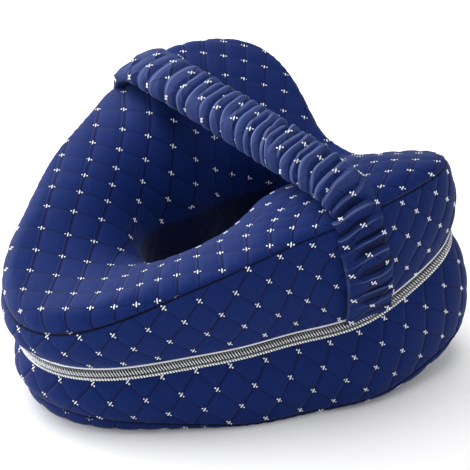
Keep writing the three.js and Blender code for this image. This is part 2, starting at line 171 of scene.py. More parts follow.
OUTLINE_STEPS = 14400
fine_angle = np.linspace(-np.pi, np.pi, OUTLINE_STEPS + 1)
outline = around(fine_angle, curve["radius"](fine_angle), np.zeros(OUTLINE_STEPS + 1))
outline_length = np.concatenate([[0], np.cumsum(np.linalg.norm(np.diff(outline, axis=0), axis=1))])
GIRTH = outline_length[-1]


def angle_at(length):
    return np.interp(length, outline_length, fine_angle)


def quilting(p, q):
    """The relief of the quilting: low puffs with sharp creases along whole p and whole q."""
    across_p = np.abs(2 * (p - np.floor(p)) - 1)
    across_q = np.abs(2 * (q - np.floor(q)) - 1)
    return PUFF_BASE + PUFF_RISE * (1 - across_p ** PUFF_POWER) * (1 - FAINT_LINES * across_q ** PUFF_POWER)


def pucker(length):
    """The rise of the puckers at each length along a seam."""
    wander = sum(size * np.sin(2 * np.pi * length / every) for size, every in PUCKER_WANDER)
    depth = PUCKER_MEAN + PUCKER_SWING * np.sin(2 * np.pi * length / PUCKER_BEAT)
    return PUCKER_RISE * depth * np.sin(2 * np.pi * length / PUCKER_PITCH + wander)


def beside_edge(ruck, away):
    """Puckers that start just off an edge and die out away from it."""
    return ruck * np.exp(-away / PUCKER_REACH) * smoothstep(away, 0, PUCKER_START)


def lattice(x, y):
    """The cloth's place as counts of its stitched lines, p one way and q the other."""
    return (x + y) / (2 * QUILT_HALF), (x - y) / (2 * QUILT_HALF)


# How far the cloth's pattern is drawn from an even lattice. The columns are the place as counts of stitched
# lines, p and q, and the shifts of p and q there.
DRAW_SOFT = 1.5
TOP_DRAW = np.array([
    (-6, 0, -0.2, 0.2),
    (-6, 5, 0.0, 0.2),
    (-4.5, -3.5, -0.3, -0.8),
    (-4, 0, -0.4, -0.4),
    (-4, 3, 0.0, 0.1),
    (-4, 7, 0.2, -0.2),
    (-2.5, -2.5, -0.5, -1.4),
    (-2.5, 0, -0.5, -0.6),
    (-2.5, 1.5, -0.2, 0.3),
    (-2, 6, 0.4, -0.5),
    (-1.5, -0.5, -0.7, -1.2),
    (-1.5, 0.5, -0.7, -0.6),
    (0, -2.5, -0.1, -1.5),
    (0, 0, -1.2, -1.5),
    (0.5, 3.5, 1.6, -0.7),
    (0.5, 6.5, 1.4, -0.3),
    (1.5, 0.5, -1.5, -1.3),
    (1.5, -1, -0.6, -1.3),
    (2, -2.5, 1.2, -0.5),
    (2.5, 6, 1.7, -0.5),
    (3, 3.5, 1.4, -2.2),
    (3, 4.5, 1.9, -1.1),
    (4, 3, 1.2, -2.2),
    (4.5, 4.5, 2.2, -1.0),
])
UPPER_DRAW = np.array([
    (19, 17, 0.2, -1.2),
    (20, 19, -0.1, -1.0),
    (22, 21, 0.0, -0.7),
    (24, 22, 0.0, -0.5),
    (26, 25, 0.1, -0.3),
    (28, 24, 0.0, 0.2),
    (28, 25.5, 0.0, 0.5),
    (31, 26.5, 0.3, 0.4),
    (30.5, 29.5, 0.8, 0.7),
    (32, 28.5, 0.8, 0.7),
])
LOWER_DRAW = np.array([
    (19, 18.5, -0.1, 0.0),
    (21, 20, 0.0, 0.1),
    (24, 23, 0.2, 0.4),
    (26, 23.5, -0.1, 0.6),
    (26, 25.5, 0.3, 0.6),
    (28, 24.5, -0.1, 0.7),
    (29.5, 26.5, 0.3, 0.8),
    (29, 28, 0.8, 1.0),
    (30.5, 29.5, 1.3, 1.3),
    (31.5, 28, 0.4, 1.1),
])


def spread(off_p, off_q):
    """The weight of a place's pull, which grows smoothly with the distance from it."""
    return np.sqrt(off_p ** 2 + off_q ** 2 + DRAW_SOFT ** 2)


def drawn(table, p, q, share=1.0):
    """The lattice places with the table's shifts, smoothly spread between its places."""
    places, shifts = table[:, :2], table[:, 2:]
    mean = shifts.mean(axis=0)
    apart = places[:, None] - places[None]
    pull = np.linalg.solve(spread(apart[..., 0], apart[..., 1]), shifts - mean)
    shift = np.zeros(p.shape + (2,)) + mean
    for (place_p, place_q), weight in zip(places, pull):
        shift += spread(p - place_p, q - place_q)[..., None] * weight
    return p + shift[..., 0] * share, q + shift[..., 1] * share


def grid_normals(points, closed):
    if closed:
        along = np.roll(points, -1, axis=0) - np.roll(points, 1, axis=0)
    else:
        along = np.gradient(points, axis=0)
    normals = np.cross(along, np.gradient(points, axis=1))
    return normals / np.maximum(np.linalg.norm(normals, axis=-1, keepdims=True), TINY)


def moved_in(edge, depth):
    """A copy of an edge's points, moved towards the hole's axis by a depth."""
    outward = edge[:, :2] / np.linalg.norm(edge[:, :2], axis=1, keepdims=True)
    moved = edge.copy()
    moved[:, :2] -= outward * depth
    return moved


# Meshes and faces

def mesh_object(name, points, faces, material, cloth=None, smooth=True):
    mesh = bpy.data.meshes.new(name)
    mesh.from_pydata(points.tolist(), [], faces)
    mesh.validate()
    if cloth is not None:
        layer = mesh.attributes.new("cloth", "FLOAT_VECTOR", "POINT")
        layer.data.foreach_set("vector", np.ascontiguousarray(cloth, np.float32).ravel())
    mesh.polygons.foreach_set("use_smooth", [smooth] * len(mesh.polygons))
    mesh.materials.append(material)
    piece = bpy.data.objects.new(name, mesh)
    bpy.context.scene.collection.objects.link(piece)
    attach(piece, "root")
    return piece


def grid_faces(columns, rows, closed, flipped=False):
    i, j = np.meshgrid(np.arange(columns if closed else columns - 1), np.arange(rows - 1), indexing="ij")
    i, j = i.ravel(), j.ravel()
    after = (i + 1) % columns
    corners = [i * rows + j, after * rows + j, after * rows + j + 1, i * rows + j + 1]
    if flipped:
        corners.reverse()
    return np.stack(corners, axis=1).tolist()


# The cover is pressed in where the strap bends over the -X edge.
PRESS_DEPTH = 3.2
PRESS_MIDDLE = (12.0, 57.0)
PRESS_HALF = (18.0, 17.0)
PRESS_FROM = (-85, -100)


def strap_press(points):
    along = np.exp(-((points[..., 1] - PRESS_MIDDLE[0]) / PRESS_HALF[0]) ** 4)
    upright = np.exp(-((points[..., 2] - PRESS_MIDDLE[1]) / PRESS_HALF[1]) ** 4)
    return PRESS_DEPTH * along * upright * smoothstep(points[..., 0], *PRESS_FROM)


# The cover's panels, from the hole to a seam under which their edge is tucked. The inside of the hole has
# painted shade.
PANEL_COLUMNS = 840
PANEL_ROWS = 150
PANEL_COARSE_ROWS = 70
HOLE_BARE_ROWS = 4
LOWER_BARE_ROWS = 24
SECTION_STEPS = 60
TUCK_ROWS = 3
TUCK_IN = 3.0
TUCK_DOWN = 1.6
# Painted shade inside the hole: its darkness, its reach at the nose, its fade, and its reach on the lower
# panel.
HOLE_SHADE_DARK = 0.8
HOLE_SHADE_NOSE = 10.0
HOLE_SHADE_FADE = 7.0
HOLE_SHADE_LOWER = 33.0
# The stitched lines and their painted groove shade are painted fainter on the -X lobe and the wall below
# it, as the light falls frontally there.
FAINT_DROP = 0.17
FAINT_ALONG = (-15, 15)
FAINT_ACROSS = (50, 10)


def panel_rows(angle):
    """The upper panel's points and cloth places: a section for each angle, from the hole to the seam."""
    radius, seam, hole = curve["radius"](angle), curve["seam"](angle), curve["hole"](angle)
    top = seam + curve["crown"](angle)
    crest = radius * curve["crest"](angle)
    rim = radius - SEAM_INSET
    t = np.linspace(0, 1, SECTION_STEPS + 1)
    wide = [v[:, None] for v in (radius, seam, hole, top, crest, rim)]
    radius, seam, hole, top, crest, rim = wide
    bowl_r = bezier(hole, hole, crest - BOWL_FLAT * (crest - hole), crest, t)
    bowl_w = bezier(0 * top, BOWL_STEEP * top, top, top, t)
    edge_r = bezier(crest, crest + EDGE_REACH * (rim - crest), rim, rim, t)
    edge_w = bezier(top, top, seam + EDGE_DROP * (top - seam), seam, t)
    r = np.concatenate([bowl_r, edge_r[:, 1:]], axis=1)
    w = np.concatenate([bowl_w, edge_w[:, 1:]], axis=1)
    steps = np.hypot(np.diff(r, axis=1), np.diff(w, axis=1))
    length = np.concatenate([np.zeros((len(angle), 1)), np.cumsum(steps, axis=1)], axis=1)
    share = np.linspace(0, 1, PANEL_ROWS)
    even = length[:, -1:] * share
    r_even = np.array([np.interp(e, l, v) for e, l, v in zip(even, length, r)])
    w_even = np.array([np.interp(e, l, v) for e, l, v in zip(even, length, w)])
    to_crest = length[:, SECTION_STEPS:SECTION_STEPS + 1]
    reach = crest + even - to_crest
    along = np.where(even > to_crest, reach, r_even)
    x = np.sin(angle)[:, None] * reach + QUILT_ACROSS
    y = -np.cos(angle)[:, None] * along + QUILT_ALONG
    return r_even, w_even, x, y, even, length[:, -1:] - even


def panel(upper):
    """A panel's points with its tucked edge, its cloth values and its lattice places."""
    lengths = np.arange(PANEL_COLUMNS) * GIRTH / PANEL_COLUMNS
    angle = angle_at(lengths)
    r, w, x, y, from_hole, to_seam = panel_rows(angle)
    points = around(angle[:, None], r, w)
    normals = -grid_normals(points, True)
    p, q = drawn(TOP_DRAW, *lattice(x, y))
    fade = smoothstep(to_seam, 0, SEAM_FADE) * smoothstep(from_hole, 0, SEAM_FADE)
    rise = quilting(p, q) * fade
    rise += beside_edge(pucker(lengths)[:, None], to_seam)
    rise -= SEAM_NIP * np.exp(-to_seam / SEAM_NIP_REACH)
    if upper:
        rise -= strap_press(points)
    points = points + normals * rise[..., None]
    # Painted shade inside the hole, darkest at its edge.
    hole_shade_edge = HOLE_SHADE_NOSE * (0.5 + 0.5 * np.cos(angle[:, None])) ** 2 if upper else HOLE_SHADE_LOWER
    hole_shade = 1 - HOLE_SHADE_DARK * (1 - smoothstep(from_hole - hole_shade_edge, 0, HOLE_SHADE_FADE))
    # Painted fainter lines on the -X lobe, as the light falls frontally there.
    lines_faded_by_light = smoothstep(points[..., 1], *FAINT_ALONG) * smoothstep(points[..., 0], *FAINT_ACROSS)
    shade = smoothstep(to_seam, *SEAM_SHADE) * hole_shade * (1 - FAINT_DROP * lines_faded_by_light)
    cloth = np.stack([p, q, shade], axis=-1)
    tucked = []
    for k in range(1, TUCK_ROWS + 1):
        edge = moved_in(points[:, -1], TUCK_IN * k / TUCK_ROWS)
        edge[:, 2] -= TUCK_DOWN * math.sqrt(k / TUCK_ROWS)
        tucked.append(edge)
    points = np.concatenate([points, np.stack(tucked, axis=1)], axis=1)
    cloth = np.concatenate([cloth, np.repeat(cloth[:, -1:], TUCK_ROWS, axis=1)], axis=1)
    if not upper:
        points = points * [1, 1, -1]
    return points, cloth, p, q


def panel_faces(columns, rows, flipped):
    """Faces of a closed grid whose inner rows use every second column. Unused points are dropped."""
    used = np.ones((columns, rows), bool)
    used[1::2, :PANEL_COARSE_ROWS] = False
    index = np.where(used, np.cumsum(used.ravel()).reshape(columns, rows) - 1, -1)
    faces = []
    even = np.arange(0, columns, 2)
    far = (even + 2) % columns
    for j in range(PANEL_COARSE_ROWS - 1):
        quads = [index[even, j], index[far, j], index[far, j + 1], index[even, j + 1]]
        faces += np.stack(quads, 1).tolist()
    j = PANEL_COARSE_ROWS - 1
    a, b = index[even, j], index[far, j]
    c, d, e = index[even, j + 1], index[even + 1, j + 1], index[far, j + 1]
    for triangle in ((a, d, c), (a, b, d), (b, e, d)):
        faces += np.stack(triangle, 1).tolist()
    every = np.arange(columns)
    after = (every + 1) % columns
    for j in range(PANEL_COARSE_ROWS, rows - 1):
        quads = [index[every, j], index[after, j], index[after, j + 1], index[every, j + 1]]
        faces += np.stack(quads, 1).tolist()
    if flipped:
        faces = [face[::-1] for face in faces]
    return faces, used


# The cover's sides, each from the zip's slot to a seam. The drawn lattice fades to an even one at the back.
DRAW_FADE = (20, 100)
LIP_SHIFT = 0.8
SIDE_COLUMNS = 812
SIDE_ROWS = 66
SIDE_TUCK_UP = 0.4
SIDE_RUCK_SHIFT = 3.0
WAIST_RUCK = 0.6
SLOT_WALL = (1, 0.6, 0.25)
SLOT_ROWS = 1 + len(SLOT_WALL)


def side(sign):
    """A side's points from the slot's floor to its tucked seam, its cloth values and its lattice places."""
    lengths = np.arange(SIDE_COLUMNS + 1) * GIRTH / SIDE_COLUMNS
    angle = angle_at(lengths)
    lip = (curve["zip"](angle) + sign * slot_half(angle))[:, None]
    seam = sign * curve["seam"](angle)[:, None]
    from_seam = 1 - np.linspace(0, 1, SIDE_ROWS)[None, :]
    swell = 1 - from_seam / BULGE_AT
    waist = (from_seam - BULGE_AT) / (1 - BULGE_AT)
    draw = np.where(from_seam < BULGE_AT, SEAM_INSET * swell ** 2, WAIST_PINCH * waist ** 2)
    w = seam + (lip - seam) * from_seam
    points = around(angle[:, None], curve["radius"](angle)[:, None] - draw, w)
    normals = sign * grid_normals(points, False)
    rise_up = np.abs(w - lip)
    p, q = lattice(np.repeat(lengths[:, None], SIDE_ROWS, 1) * diamond_share(), rise_up - LIP_SHIFT)
    seen = smoothstep(lengths, *DRAW_FADE) * smoothstep(GIRTH - lengths, *DRAW_FADE)
    # The stronger lines lean the other way on the upper side.
    if sign > 0:
        q, p = drawn(UPPER_DRAW, p, q, seen[:, None])
    else:
        p, q = drawn(LOWER_DRAW, p, q, seen[:, None])
    to_seam = np.abs(seam - w)
    fade = smoothstep(to_seam, 0, SEAM_FADE) * smoothstep(rise_up, 0, SEAM_FADE)
    rise = quilting(p, q) * fade
    ruck = pucker(lengths + SIDE_RUCK_SHIFT)[:, None]
    rise += beside_edge(ruck, to_seam)
    rise += beside_edge(WAIST_RUCK * ruck, rise_up)
    rise -= SEAM_NIP * np.exp(-to_seam / SEAM_NIP_REACH) + strap_press(points)
    points = points + normals * rise[..., None]
    cloth = np.stack([p, q, smoothstep(to_seam, *SEAM_SHADE)], axis=-1)
    points[-1] = points[0]
    cloth[-1, :, 2] = cloth[0, :, 2]
    floor_radius = curve["radius"](angle) - WAIST_PINCH - slot_depth(angle)
    inside = [around(angle, floor_radius, curve["zip"](angle))]
    for share in SLOT_WALL:
        inside.append(moved_in(points[:, 0], (slot_depth(angle) * share)[:, None]))
    top = moved_in(points[:, -1], TUCK_IN)
    top[:, 2] += sign * SIDE_TUCK_UP
    points = np.concatenate([np.stack(inside, 1), points, top[:, None]], axis=1)
    cloth = np.concatenate([np.repeat(cloth[:, :1], SLOT_ROWS, 1), cloth, cloth[:, -1:]], axis=1)
    return points, cloth, p, q


def diamond_share():
    """A whole number of diamonds goes round the side."""
    return 2 * QUILT_HALF * round(GIRTH / (2 * QUILT_HALF)) / GIRTH


# Motifs at the quilting's crossings
STROKE_LONG = 1.75
STROKE_WIDE = 0.5
DOT_REACH = 1.65
DOT_LONG = 0.62
DOT_WIDE = 0.56
MOTIF_HIGH = 0.45
MOTIF_SIDES = 10
MOTIF_APART = 3.0
# A stroke's or dot's rings from its foot to its tip: shares of its size and of its height.
MOTIF_RINGS = ((1, -0.15), (0.72, 0.7), (0, 1))


def column_steps(values):
    return values[1:, :-1] - values[:-1, :-1]


def row_steps(values):
    return values[:-1, 1:] - values[:-1, :-1]


def crossings(points, p, q, closed):
    """Places where whole p and whole q meet on a grid: the point and the cloth's two directions."""
    if closed:
        points, p, q = (np.concatenate([values, values[:1]], axis=0) for values in (points, p, q))
    p_i, p_j = column_steps(p), row_steps(p)
    q_i, q_j = column_steps(q), row_steps(q)
    p0, q0 = p[:-1, :-1], q[:-1, :-1]
    area = p_i * q_j - p_j * q_i
    area = np.where(np.abs(area) < TINY, TINY, area)
    found = []
    for up in (0, 1):
        for uq in (0, 1):
            dp = np.floor(p0) + up - p0
            dq = np.floor(q0) + uq - q0
            s = (dp * q_j - p_j * dq) / area
            t = (p_i * dq - dp * q_i) / area
            inside = (s >= 0) & (s < 1) & (t >= 0) & (t < 1)
            near = (np.abs(dp) < 0.5) & (np.abs(dq) < 0.5)
            for i, j in np.argwhere(inside & near):
                along_i = points[i + 1, j] - points[i, j]
                along_j = points[i, j + 1] - points[i, j]
                place = points[i, j] + s[i, j] * along_i + t[i, j] * along_j
                along_p = (along_i * q_j[i, j] - along_j * q_i[i, j]) / area[i, j]
                along_q = (along_j * p_i[i, j] - along_i * p_j[i, j]) / area[i, j]
                found.append((place, along_p, along_q))
    kept = []
    for place, a, b in found:
        if all(np.linalg.norm(place - other[0]) > MOTIF_APART for other in kept):
            kept.append((place, a / np.linalg.norm(a), b / np.linalg.norm(b)))
    return kept


def motif_mesh(places, outward):
    """A raised stroke along the strong stitched line at each place, and a dot on each side of it."""
    turn = np.arange(MOTIF_SIDES) * 2 * np.pi / MOTIF_SIDES
    points, faces = [], []
    for place, a, b in places:
        normal = np.cross(a, b)
        normal = normal / np.linalg.norm(normal)
        if np.dot(normal, outward(place)) < 0:
            normal = -normal
        stroke = (b, 0, STROKE_LONG, STROKE_WIDE)
        dots = [(a, reach, DOT_LONG, DOT_WIDE) for reach in (DOT_REACH, -DOT_REACH)]
        for along, reach, long, wide in (stroke, *dots):
            across = np.cross(normal, along)
            middle = place + along * reach
            start = len(points)
            for share, height in MOTIF_RINGS:
                ring = turn if share else turn[:1]
                for angle in ring:
                    offset = along * math.cos(angle) * long + across * math.sin(angle) * wide
                    points.append(middle + offset * share + normal * height * MOTIF_HIGH)
            for k in range(MOTIF_SIDES):
                n = (k + 1) % MOTIF_SIDES
                low, high, tip = start + k, start + MOTIF_SIDES + k, start + 2 * MOTIF_SIDES
                faces.append([low, start + n, start + MOTIF_SIDES + n, high])
                faces.append([high, start + MOTIF_SIDES + n, tip])
    return np.array(points), faces


# Materials

class Shader:
    """A node material with short calls for its nodes."""

    def __init__(self, name):
        self.material = bpy.data.materials.new(name)
        self.material.use_nodes = True
        self.tree = self.material.node_tree
        self.surface = self.tree.nodes["Principled BSDF"]

    def node(self, kind, inputs=None, **settings):
        node = self.tree.nodes.new(kind)
        for name, value in settings.items():
            setattr(node, name, value)
        for name, value in (inputs or {}).items():
            self.put(node.inputs[name], value)
        return node

    def put(self, socket, value):
        if isinstance(value, bpy.types.NodeSocket):
            self.tree.links.new(value, socket)
        else:
            socket.default_value = value

    def math(self, operation, first, second=0.0, third=0.0):
        node = self.node("ShaderNodeMath", operation=operation)
        for socket, value in zip(node.inputs, (first, second, third)):
            self.put(socket, value)
        return node.outputs[0]

    def ramp(self, value, low, high, to_low=0.0, to_high=1.0):
        inputs = {"Value": value, "From Min": low, "From Max": high, "To Min": to_low, "To Max": to_high}
        return self.node("ShaderNodeMapRange", inputs, interpolation_type="SMOOTHSTEP").outputs[0]

    def noise(self, scale, detail):
        place = self.node("ShaderNodeTexCoord").outputs["Object"]
        inputs = {"Vector": place, "Scale": scale, "Detail": detail}
        return self.node("ShaderNodeTexNoise", inputs).outputs["Fac"]

    def cloth(self):
        """The mesh's cloth values: the lattice places p and q, and the shade or brightness."""
        place = self.node("ShaderNodeAttribute", attribute_name="cloth").outputs["Vector"]
        return self.node("ShaderNodeSeparateXYZ", {"Vector": place}).outputs

    def mix(self, share, first, second):
        """A mix of two colours. Their sockets are the node's inputs 6 and 7 and its output 2."""
        node = self.node("ShaderNodeMix", data_type="RGBA")
        self.put(node.inputs[0], share)
        self.put(node.inputs[6], first)
        self.put(node.inputs[7], second)
        return node.outputs[2]

    def bump(self, height, distance, strength=1.0, normal=None):
        inputs = {"Height": height, "Distance": distance, "Strength": strength}
        if normal:
            inputs["Normal"] = normal
        return self.node("ShaderNodeBump", inputs).outputs[0]

    def set(self, **values):
        for name, value in values.items():
            self.put(self.surface.inputs[name.replace("_", " ")], value)
        return self.material


def linear(value):
    """The light that a display value from 0 to 255 stands for, by the usual display curve."""
    share = value / 255
    return share / 12.92 if value <= 10 else ((share + 0.055) / 1.055) ** 2.4


def colour(red, green, blue):
    """A colour given in display values, as the shader takes it."""
    return (linear(red), linear(green), linear(blue), 1.0)


# Cloth: a melange jersey with stitched lines, coloured as dark thread with painted groove shade, and
# painted shade in a dimple at each crossing. A shade under 1 adds painted shade, and one over 1 adds a
# painted highlight. Noise scales are per metre, and other sizes in millimetres.
COVER_COLOURS = (colour(3, 30, 89), colour(1, 27, 85))
STRAP_COLOURS = (colour(7, 32, 88), colour(5, 28, 83))
# Dark thread with painted shade of the stitched grooves; the dimples' painted shade uses it too.
LINE_COLOUR = colour(0, 6, 50)
DEEP_SHADE = colour(1, 5, 33)
HIGHLIGHT_COLOUR = colour(108, 122, 170)
SHEEN_COLOUR = colour(228, 234, 246)
MELANGE_SCALE = 900
PATCH_SCALE = 28
TONE_RANGE = (0.3, 0.7)
KNIT_PITCH = 0.55
KNIT_DEPTH = 0.04
KNIT_FUZZ = 1.2
LINE_CORE = 0.2
LINE_HALF = 0.7
LINES_SHOW = (0.7, 1.0)
DIMPLE = (1.6, 3.2)
DIMPLE_SHADE_SHARE = 0.6
DARK_RANGE = (0.0, 0.7)
DARK_SHARE = 0.85
HIGHLIGHT_RANGE = (1.0, 1.9)
HIGHLIGHT_SHARE = 0.5
GROOVE_HALF = 1.6
GROOVE_DEPTH = 0.5

# Thread, tape and metal
THREAD_COLOURS = (colour(240, 243, 252), colour(190, 198, 220))
THREAD_TONE_SCALE = 1800
THREAD_SCALE = 5200
THREAD_DEPTH = 0.06
TAPE_COLOURS = (colour(222, 225, 236), colour(240, 242, 248))
TAPE_SHADE = colour(12, 14, 26)
TAPE_SCALE = 2600
TAPE_DEPTH = 0.1
METAL_COLOURS = (colour(250, 253, 255), colour(240, 243, 248))
METAL_SHADE = colour(26, 26, 30)
WEAR_SCALE = 700
WEAR_RANGE = (0.3, 0.7)
METAL_ROUGH = (0.2, 0.34)


def cloth_material(name, colours, line_share, faint_share=FAINT_LINES):
    shader = Shader(name)
    p, q, shade = shader.cloth()
    to_p = shader.math("PINGPONG", p, 0.5)
    to_q = shader.math("PINGPONG", q, 0.5)
    from_p = shader.math("MULTIPLY", to_p, LINE_PITCH)
    from_q = shader.math("MULTIPLY", to_q, LINE_PITCH)
    strong = shader.ramp(from_p, LINE_CORE, LINE_HALF, 1, 0)
    faint = shader.ramp(from_q, LINE_CORE, LINE_HALF, faint_share, 0)
    lines = shader.math("MAXIMUM", strong, faint)
    thread_and_groove_shade = shader.math("MULTIPLY", lines, shader.ramp(shade, *LINES_SHOW))
    melange = shader.noise(MELANGE_SCALE, 2)
    patches = shader.noise(PATCH_SCALE, 3)
    tone = shader.math("MULTIPLY_ADD", melange, 0.5, shader.math("MULTIPLY", patches, 0.5))
    base = shader.mix(shader.ramp(tone, *TONE_RANGE), *colours)
    # Dark thread and painted groove shade along the stitched lines.
    base = shader.mix(shader.math("MULTIPLY", thread_and_groove_shade, line_share), base, LINE_COLOUR)
    square_p = shader.math("MULTIPLY", to_p, to_p)
    off_crossing = shader.math("SQRT", shader.math("MULTIPLY_ADD", to_q, to_q, square_p))
    from_crossing = shader.math("MULTIPLY", off_crossing, LINE_PITCH)
    # Painted shade in the dimple round each crossing.
    dimple_shade = shader.ramp(from_crossing, *DIMPLE, DIMPLE_SHADE_SHARE, 0)
    dimple_shade = shader.math("MULTIPLY", dimple_shade, shader.math("MINIMUM", shade, 1.0))
    base = shader.mix(dimple_shade, base, LINE_COLOUR)
    # Painted shade: in the hole, along the seams and in the strap's creases.
    base = shader.mix(shader.ramp(shade, *DARK_RANGE, DARK_SHARE, 0), base, DEEP_SHADE)
    # Painted highlight on the strap's fold rims, edges and upper stretch.
    base = shader.mix(shader.ramp(shade, *HIGHLIGHT_RANGE, 0, HIGHLIGHT_SHARE), base, HIGHLIGHT_COLOUR)
    turns = 2 * math.pi * QUILT_HALF / KNIT_PITCH
    wales = shader.math("SINE", shader.math("MULTIPLY", shader.math("ADD", p, q), turns))
    courses = shader.math("SINE", shader.math("MULTIPLY", shader.math("SUBTRACT", p, q), turns))
    knit = shader.math("MULTIPLY_ADD", wales, courses, shader.math("MULTIPLY", melange, KNIT_FUZZ))
    groove_p = shader.ramp(from_p, 0, GROOVE_HALF)
    groove_q = shader.ramp(from_q, 0, GROOVE_HALF, 1 - FAINT_LINES / 2, 1)
    groove = shader.bump(shader.math("MULTIPLY", groove_p, groove_q), GROOVE_DEPTH * MM)
    normal = shader.bump(knit, KNIT_DEPTH * MM, strength=0.5, normal=groove)
    return shader.set(Base_Color=base, Roughness=0.75, Normal=normal, Specular_IOR_Level=0.147,
                      Sheen_Weight=0.07, Sheen_Roughness=0.35, Sheen_Tint=SHEEN_COLOUR)


def thread_material(name):
    shader = Shader(name)
    base = shader.mix(shader.noise(THREAD_TONE_SCALE, 2), *THREAD_COLOURS)
    normal = shader.bump(shader.noise(THREAD_SCALE, 1), THREAD_DEPTH * MM, strength=0.4)
    return shader.set(Base_Color=base, Roughness=0.55, Normal=normal, Sheen_Weight=0.2)


def tape_material(name):
    shader = Shader(name)
    weave = shader.noise(TAPE_SCALE, 1)
    # Painted shade over the tapes, except on the upper tape's pale cord.
    base = shader.mix(shader.cloth()[2], TAPE_SHADE, shader.mix(weave, *TAPE_COLOURS))
    normal = shader.bump(weave, TAPE_DEPTH * MM, strength=0.5)
    return shader.set(Base_Color=base, Roughness=0.7, Normal=normal, Sheen_Weight=0.15)


def metal_material(name):
    shader = Shader(name)
    wear = shader.noise(WEAR_SCALE, 3)
    # Painted shade in the teeth's recesses and on their sides, from each point's brightness.
    base = shader.mix(shader.cloth()[2], METAL_SHADE, shader.mix(wear, *METAL_COLOURS))
    rough = shader.ramp(wear, *WEAR_RANGE, *METAL_ROUGH)
    return shader.set(Base_Color=base, Metallic=0.35, Roughness=rough)


cover_cloth = cloth_material("cover_cloth", COVER_COLOURS, line_share=1.0)
side_cloth = cloth_material("side_cloth", COVER_COLOURS, line_share=0.8)
strap_cloth = cloth_material("strap_cloth", STRAP_COLOURS, line_share=1.0, faint_share=1.0)
motif_thread = thread_material("motif_thread")
zip_tape = tape_material("zip_tape")
zip_metal = metal_material("zip_metal")


# The cover

WALL_RADIUS = 70
WALL_LEAN = 0.004


def outward_from_axis(place):
    return np.array([place[0], place[1], 0.0])


def outward_from_panel(rise):
    """Up or down, and on the hole's wall a little towards the hole's axis too."""
    def outward(place):
        on_wall = np.hypot(place[0], place[1]) < WALL_RADIUS
        return np.array([0, 0, rise]) - WALL_LEAN * outward_from_axis(place) * on_wall
    return outward


motifs = {}
for name, upper in (("cover_top", True), ("cover_bottom", False)):
    points, cloth, p, q = panel(upper)
    faces, used = panel_faces(*points.shape[:2], flipped=not upper)
    piece = mesh_object(name, settle(points[used]), faces, cover_cloth, cloth[used])
    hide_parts("cushion")
    bare = HOLE_BARE_ROWS if upper else LOWER_BARE_ROWS
    places = crossings(points[:, bare:PANEL_ROWS], p[:, bare:], q[:, bare:], True)
    motifs[name] = motif_mesh(places, outward_from_panel(1 if upper else -1))

for name, sign in (("cover_side_upper", 1), ("cover_side_lower", -1)):
    points, cloth, p, q = side(sign)
    faces = grid_faces(*points.shape[:2], closed=False, flipped=sign < 0)
    settled = settle(points).reshape(-1, 3)
    piece = mesh_object(name, settled, faces, side_cloth, cloth.reshape(-1, 3))
    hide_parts("cushion")
    places = crossings(points[:, SLOT_ROWS:-1], p, q, False)
    motifs[name] = motif_mesh(places, outward_from_axis)

for name, (points, faces) in motifs.items():
    mesh_object(name.replace("cover", "motifs"), settle(points), faces, motif_thread)


# The zip

CHAIN_PROUD = 0.5
TOOTH_PITCH = 1.77
TOOTH_HALF = 0.38
TOOTH_SLANT = -0.45
# A tooth's section across its length: shares of its half width, and the fall from its top.
TOOTH_FOOT = 0.9
TOOTH_PROFILE = (
    (-1.0, TOOTH_FOOT),
    (-1.0, 0.8),
    (-0.55, 0.0),
    (0.55, 0.0),
    (1.0, 0.8),
    (1.0, TOOTH_FOOT),
)
# An upper and a lower tooth's stations from the tape to the tip: place off the middle, share of the width,
# drop from the chain's top, and how much of the metal's colour is kept, the rest being painted shade.
UPPER_TOOTH = (
    (3.5, 0.6, 1.3, 0.3),
    (2.6, 0.7, 0.9, 0.35),
    (1.6, 0.9, 0.25, 0.5),
    (1.0, 1.0, 0.0, 1.0),
    (-1.0, 1.0, 0.0, 1.0),
    (-1.7, 0.8, 0.35, 0.7),
    (-2.0, 0.5, 0.9, 0.2),
)
LOWER_TOOTH = (
    (4.6, 1.7, 0.8, 0.9),
    (4.4, 2.1, 0.3, 1.0),
    (3.0, 2.1, 0.1, 1.0),
    (2.7, 1.1, 0.8, 0.4),
    (2.4, 0.6, 1.5, 0.1),
    (0.6, 0.6, 1.7, 0.1),
    (0.2, 0.5, 2.0, 0.1),
)
TAPE_STEP = 1.5
ZIP_INSET = 0.3
# A tape's section: place off the middle, and height over the slot's floor.
TAPE_SECTION = (
    (0.25, ZIP_INSET),
    (0.25, 0.7),
    (2.6, 0.8),
    (3.2, 1.0),
    (3.45, 1.6),
    (3.6, 2.4),
    (3.95, 2.8),
    (4.4, 2.6),
    (4.65, 1.9),
    (4.65, ZIP_INSET),
)
# Only the upper tape's cord, which lies past this place, is pale; the rest of both tapes has painted shade.
PALE_FROM = 3.5


def zip_angles(step):
    start = np.interp(PLAIN_AT + PLAIN_HALF_ANGLE, fine_angle, outline_length)
    end = np.interp(PLAIN_AT - PLAIN_HALF_ANGLE, fine_angle, outline_length) + GIRTH
    count = int((end - start) / step)
    return angle_at((start + np.linspace(0, end - start, count + 1)) % GIRTH)


def zip_frames(angle):
    """A place on the slot's floor for each angle, with the directions along, out and up."""
    base = around(angle, curve["radius"](angle) - WAIST_PINCH - SLOT_DEPTH, curve["zip"](angle))
    along = np.gradient(base, axis=0)
    along /= np.linalg.norm(along, axis=1, keepdims=True)
    up = np.array([0, 0, 1.0])
    out = np.cross(along, up)
    out /= np.linalg.norm(out, axis=1, keepdims=True)
    return base, along, out, np.cross(out, along)


